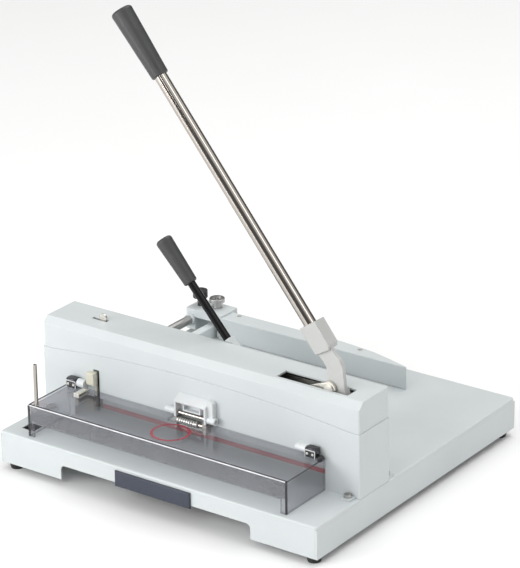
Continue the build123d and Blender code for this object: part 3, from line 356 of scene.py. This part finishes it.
MATERIALS = {
    "body_paint": paint("body_paint", (0.60, 0.637, 0.645), 0.45),
    "arm_paint": paint("arm_paint", (0.50, 0.505, 0.49), 0.4, 1100.0, 0.06),
    "zinc": metal("zinc", (0.74, 0.72, 0.66), 0.32, (1, 1, 1), 500.0, 0.08, 0.35),
    "steel": metal("steel", (0.47, 0.465, 0.455), 0.34, (1, 1, 4)),
    "blade_steel": metal("blade_steel", (0.68, 0.69, 0.71), 0.2, (0.05, 1, 1)),
    "chrome": metal("chrome", (0.47, 0.435, 0.40), 0.07, (1, 1, 0.08), 400.0, 0.015, 0.1, 0.7),
    "black_gloss": paint(
        "black_gloss",
        (0.008, 0.008, 0.009),
        0.12,
        700.0,
        0.015,
        (0.03, 0.03, 0.03),
        0.3,
        Specular_IOR_Level=0.22,
    ),
    "grip_plastic": plastic("grip_plastic", (0.046, 0.046, 0.048), 0.42, 1700.0, 0.3),
    "black_plastic": plastic("black_plastic", (0.022, 0.022, 0.024), 0.4),
    "white_plastic": plastic(
        "white_plastic",
        (0.70, 0.72, 0.73),
        0.35,
        edge_gain=1.1,
        Subsurface_Weight=0.05,
    ),
    "cream_plastic": plastic(
        "cream_plastic",
        (0.68, 0.66, 0.55),
        0.38,
        edge_gain=1.15,
        Subsurface_Weight=0.05,
    ),
    "blue_plastic": plastic("blue_plastic", (0.034, 0.041, 0.064), 0.42, 1300.0, 0.2),
    "red_plastic": plastic("red_plastic", (0.60, 0.045, 0.06), 0.4, edge_gain=1.2),
    "rubber": plastic("rubber", (0.018, 0.018, 0.018), 0.7, 900.0, 0.4),
    "bronze": metal("bronze", (0.55, 0.38, 0.20), 0.38, (1, 1, 1), 900.0, 0.1, 0.4),
    "aluminium_paint": metal("aluminium_paint", (0.66, 0.67, 0.68), 0.35, (0.1, 1, 1)),
    "smoke_acrylic": smoke_acrylic("smoke_acrylic"),
    "smoke_edge": see_through("smoke_edge", (0.03, 0.03, 0.035), 0.78, 0.12),
    # Painted shade: a dark see-through sheet that darkens the cover's front wall.
    "smoke_painted_shade": see_through("smoke_painted_shade", (0.05, 0.05, 0.058), 0.26, 0.15),
    # Painted highlight: a pale see-through layer that stands for the light caught along the cover's edges.
    "pale_edge_highlight": see_through("pale_edge_highlight", (0.86, 0.87, 0.9), 0.8, 0.15),
    "red_print": see_through("red_print", (0.42, 0.05, 0.075), 0.60, 0.45),
}


def give(obj, slot):
    obj.data.materials.clear()
    obj.data.materials.append(MATERIALS[slot])


for node_name, node in NODES.items():
    give(node, SLOT_OF[node_name])


# ------------------------------------------------------------------ building pieces
TABLE_LOW, TABLE_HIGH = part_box("table_plate")
CAD_LEFT, CAD_FRONT, TABLE_TOP = TABLE_LOW.x, TABLE_LOW.y, TABLE_HIGH.z
CORE = 0.05 * MM  # how near a turned profile comes to its axis


def at(x, y, z):
    """A place from millimetres right of, behind and above the table's front left top corner."""
    return Vector((CAD_LEFT + x * MM, CAD_FRONT + y * MM, TABLE_TOP + z * MM))


def band(inner, outer, low, high):
    """The closed profile of a flat ring, or of a disc where it starts at the core."""
    return ((inner, low), (outer, low), (outer, high), (inner, high))


def piece(name, shape, slot, body, bevel=0.0, smooth=True):
    """Turns a bmesh into a piece that rides on a body."""
    mesh = bpy.data.meshes.new(name)
    bmesh.ops.recalc_face_normals(shape, faces=shape.faces[:])
    shape.to_mesh(mesh)
    shape.free()
    obj = bpy.data.objects.new(name, mesh)
    bpy.context.scene.collection.objects.link(obj)
    if bevel:
        rounding = obj.modifiers.new("rounding", "BEVEL")
        rounding.width = bevel
        rounding.segments = 3
        rounding.limit_method = "ANGLE"
    if smooth:
        for face in mesh.polygons:
            face.use_smooth = True
        mesh.set_sharp_from_angle(angle=math.radians(32))
    mesh.materials.append(MATERIALS[slot])
    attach(obj, body)
    return obj


def add_box(shape, low, high):
    corners = [
        shape.verts.new((x, y, z))
        for x in (low[0], high[0])
        for y in (low[1], high[1])
        for z in (low[2], high[2])
    ]
    for loop in ((0, 1, 3, 2), (4, 6, 7, 5), (0, 4, 5, 1), (2, 3, 7, 6), (0, 2, 6, 4), (1, 5, 7, 3)):
        shape.faces.new([corners[i] for i in loop])


def add_block(shape, x, y, z):
    """A box between pairs of table places in millimetres."""
    add_box(shape, at(x[0], y[0], z[0]), at(x[1], y[1], z[1]))


def add_lathe(shape, profile, place, axis=(0, 0, 1), segments=48):
    """A closed profile of (radius, height) points turned round an axis through a place."""
    turn = Vector((0, 0, 1)).rotation_difference(Vector(axis)).to_matrix()
    rings = []
    for step in range(segments):
        angle = 2 * math.pi * step / segments
        ring = []
        for radius, height in profile:
            point = Vector((radius * math.cos(angle), radius * math.sin(angle), height))
            ring.append(shape.verts.new(Vector(place) + turn @ point))
        rings.append(ring)
    count = len(profile)
    for step in range(segments):
        one, two = rings[step], rings[(step + 1) % segments]
        for i in range(count):
            j = (i + 1) % count
            shape.faces.new((one[i], one[j], two[j], two[i]))


def add_screw(shape, place, axis, radius):
    """A pan head with a round recess, standing on a surface and facing along an axis."""
    head = radius * 0.45
    profile = (
        (CORE, 0.0),
        (radius * MM, 0.0),
        (radius * MM, head * 0.5 * MM),
        (radius * 0.8 * MM, head * MM),
        (radius * 0.45 * MM, head * MM),
        (radius * 0.35 * MM, head * 0.3 * MM),
        (CORE, head * 0.3 * MM),
    )
    add_lathe(shape, profile, place, axis, 24)


# ------------------------------------------------------------------ safety cover details
COVER_LOW, COVER_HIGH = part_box("safety_cover")
CORNER_LEFT, CORNER_RIGHT = COVER_LOW.x, COVER_HIGH.x
COVER_FRONT = COVER_LOW.y
COVER_FLOOR = COVER_LOW.z
COVER_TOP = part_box("interlock_arm")[0].z
COVER_DEPTH = 99.9 * MM
COVER_REAR = COVER_FRONT + COVER_DEPTH


def cover_edges():
    """The bonded corners of the acrylic box, which look dark, and a pale band along its front top edge that
    is a painted highlight.
    """
    proud = 0.15 * MM
    left_seam, right_seam, seam_depth = 2.8 * MM, 2.6 * MM, 3.0 * MM
    side_seam, side_drop = 1.3 * MM, 1.6 * MM
    highlight_band_depth, highlight_band_height = 1.9 * MM, 1.7 * MM
    x0, x1 = CORNER_LEFT - proud, CORNER_RIGHT + proud
    y0, z1 = COVER_FRONT - proud, COVER_TOP + proud
    dark = bmesh.new()
    for a, b in ((x0, x0 + left_seam), (x1 - right_seam, x1)):
        add_box(dark, (a, y0, COVER_FLOOR), (b, y0 + seam_depth, z1 - 1.2 * MM))
        inner = (a, a + side_seam) if a == x0 else (b - side_seam, b)
        add_box(dark, (inner[0], y0 + 3.4 * MM, z1 - side_drop), (inner[1], COVER_REAR, z1))
    add_box(dark, (x0 + 1.5 * MM, y0 + 2.7 * MM, z1 - 3.1 * MM), (x1 - 1.5 * MM, y0 + 4.9 * MM, z1))
    piece("cover_bonded_edges", dark, "smoke_edge", "cover", 0.3 * MM)
    # A pale see-through band on the front top edge: painted highlight.
    highlight_band = bmesh.new()
    add_box(highlight_band, (x0 + 2.9 * MM, y0, z1 - highlight_band_height), (x1 - 2.7 * MM, y0 + highlight_band_depth, z1))
    piece("cover_painted_highlight_rim", highlight_band, "pale_edge_highlight", "cover", 0.7 * MM)


def front_wall_painted_shade():
    """A dark see-through sheet inside the cover's front wall: painted shade that makes the front wall look
    darker than the top.
    """
    front_shade_sheet = bmesh.new()
    wall_gap, thick, bare_foot = 3.2 * MM, 0.15 * MM, 23.0 * MM
    inner = COVER_FRONT + 3.1 * MM
    low = (CORNER_LEFT + wall_gap, inner, COVER_FLOOR + bare_foot)
    high = (CORNER_RIGHT - wall_gap, inner + thick, COVER_TOP - wall_gap)
    add_box(front_shade_sheet, low, high)
    piece("cover_front_painted_shade", front_shade_sheet, "smoke_painted_shade", "cover", 0.03 * MM)


def cover_ring():
    """A plain red ring on the cover, with no sign in it."""
    ring = bmesh.new()
    outer, line = 31.0 * MM, 4.4 * MM
    profile = band(outer - line, outer, 0.05 * MM, 0.22 * MM)
    middle = (CAD_LEFT + 296 * MM, CAD_FRONT + 51.5 * MM, COVER_TOP)
    add_lathe(ring, profile, middle, segments=96)
    piece("cover_red_ring", ring, "red_print", "cover")


# The cover's hinge, its top face and the ends of its two knuckles, in millimetres as at() takes them.
HINGE_Y, HINGE_Z = 102.5, 63.0
COVER_PLATE = (COVER_TOP - TABLE_TOP) / MM
KNUCKLES = ((56.9, 77.1), (511.9, 531.6))


def knuckle_caps():
    """Square saddles screwed down over the two knuckles of the cover, pale strips on their fronts that are
    painted highlight, and a dark end cap.
    """
    caps = bmesh.new()
    for start, end in KNUCKLES:
        add_block(caps, (start, end), (HINGE_Y - 7.5, HINGE_Y + 6.6), (COVER_PLATE + 0.1, HINGE_Z + 6.7))
    piece("knuckle_caps", caps, "smoke_edge", "cover", 2.6 * MM)
    # Pale strips along the saddles' front edges: painted highlight.
    highlight_strips = bmesh.new()
    strip_y, strip_top = (HINGE_Y - 7.8, HINGE_Y - 7.3), HINGE_Z + 3.4
    for start, end in KNUCKLES:
        for x in (start + 0.6, end - 1.8):
            add_block(highlight_strips, (x, x + 1.2), strip_y, (COVER_PLATE + 0.4, strip_top))
        add_block(highlight_strips, (start + 1.9, end - 1.9), strip_y, (HINGE_Z + 1.8, strip_top))
    piece("knuckle_cap_painted_highlights", highlight_strips, "pale_edge_highlight", "cover", 0.2 * MM)
    screws = bmesh.new()
    for start, end in KNUCKLES:
        for x in (start + 5.0, end - 5.0):
            add_screw(screws, at(x, HINGE_Y - 7.4, HINGE_Z - 3.0), (0, -1, 0), 2.3)
    piece("knuckle_cap_screws", screws, "zinc", "cover", 0.15 * MM)
    end_cap = bmesh.new()
    add_block(end_cap, (532.2, 540.1), (HINGE_Y - 6.0, HINGE_Y + 5.6), (COVER_PLATE - 5.0, COVER_PLATE + 5.0))
    piece("cover_end_cap", end_cap, "black_plastic", "cover", 3.5 * MM)


def interlock_slot_shade():
    """A dark sheet behind the slot of the interlock slider: painted shade where the slot looks dark."""
    slot_shade_sheet = bmesh.new()
    add_block(slot_shade_sheet, (99.5, 113.5), (115.5, 115.9), (23, 90))
    piece("interlock_slot_painted_shade", slot_shade_sheet, "rubber", "bridge_and_table", 0.1 * MM)


def gauge_controls():
    """Dark fill at the bottom of the dial's holes, which is painted shade, the dark ring of the dial, and the
    cap on top of the clamping knob.
    """
    dial_low, dial_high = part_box("gauge_dial")
    middle = (dial_low + dial_high) / 2
    # Dark discs sunk in the dial's holes: painted shade.
    hole_shades = bmesh.new()
    hole_count, hole_circle, hole_radius = 3, 5.5 * MM, 1.75 * MM
    for count in range(hole_count):
        angle = math.radians(360 / hole_count * count + 30)
        x = middle.x + hole_circle * math.cos(angle)
        y = middle.y + hole_circle * math.sin(angle)
        profile = band(CORE, hole_radius, -6.2 * MM, -2.85 * MM)
        add_lathe(hole_shades, profile, (x, y, dial_high.z), segments=24)
    piece("dial_hole_painted_shade", hole_shades, "rubber", "gauge_scale_dial")
    collar = bmesh.new()
    profile = band(10.6 * MM, 11.2 * MM, -0.9 * MM, -0.65 * MM)
    add_lathe(collar, profile, (middle.x, middle.y, dial_high.z), segments=64)
    piece("dial_scale_ring", collar, "black_plastic", "gauge_scale_dial")
    knob_low, knob_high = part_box("lock_knob")
    centre = ((knob_low.x + knob_high.x) / 2, (knob_low.y + knob_high.y) / 2, knob_high.z)
    cap = bmesh.new()
    profile = (
        (CORE, -0.8 * MM),
        (9.2 * MM, -0.8 * MM),
        (9.2 * MM, 0.35 * MM),
        (8.4 * MM, 0.7 * MM),
        (6.6 * MM, 0.7 * MM),
        (6.2 * MM, 0.2 * MM),
        (CORE, 0.2 * MM),
    )
    add_lathe(cap, profile, centre, segments=64)
    piece("knob_cap", cap, "black_plastic", "gauge_lock_knob")


cover_edges()
front_wall_painted_shade()
cover_ring()
knuckle_caps()
interlock_slot_shade()
gauge_controls()


# ------------------------------------------------------------------ floor
def make_floor():
    mesh = bpy.data.meshes.new("floor")
    shape = bmesh.new()
    bmesh.ops.create_grid(shape, x_segments=1, y_segments=1, size=6)
    shape.to_mesh(mesh)
    shape.free()
    floor = bpy.data.objects.new("floor", mesh)
    floor.location = (0, 0, CAD_BOX[0][2] - 0.0002)
    t = Tree("floor_paper")
    tone = t.blend(t.noise(1.5, 2.0), (0.93, 0.93, 0.93), (0.95, 0.95, 0.95))
    t.surface(tone, t.remap(t.noise(5.0), 0.3, 0.7, 0.75, 0.85))
    mesh.materials.append(t.material)
    bpy.context.scene.collection.objects.link(floor)


make_floor()
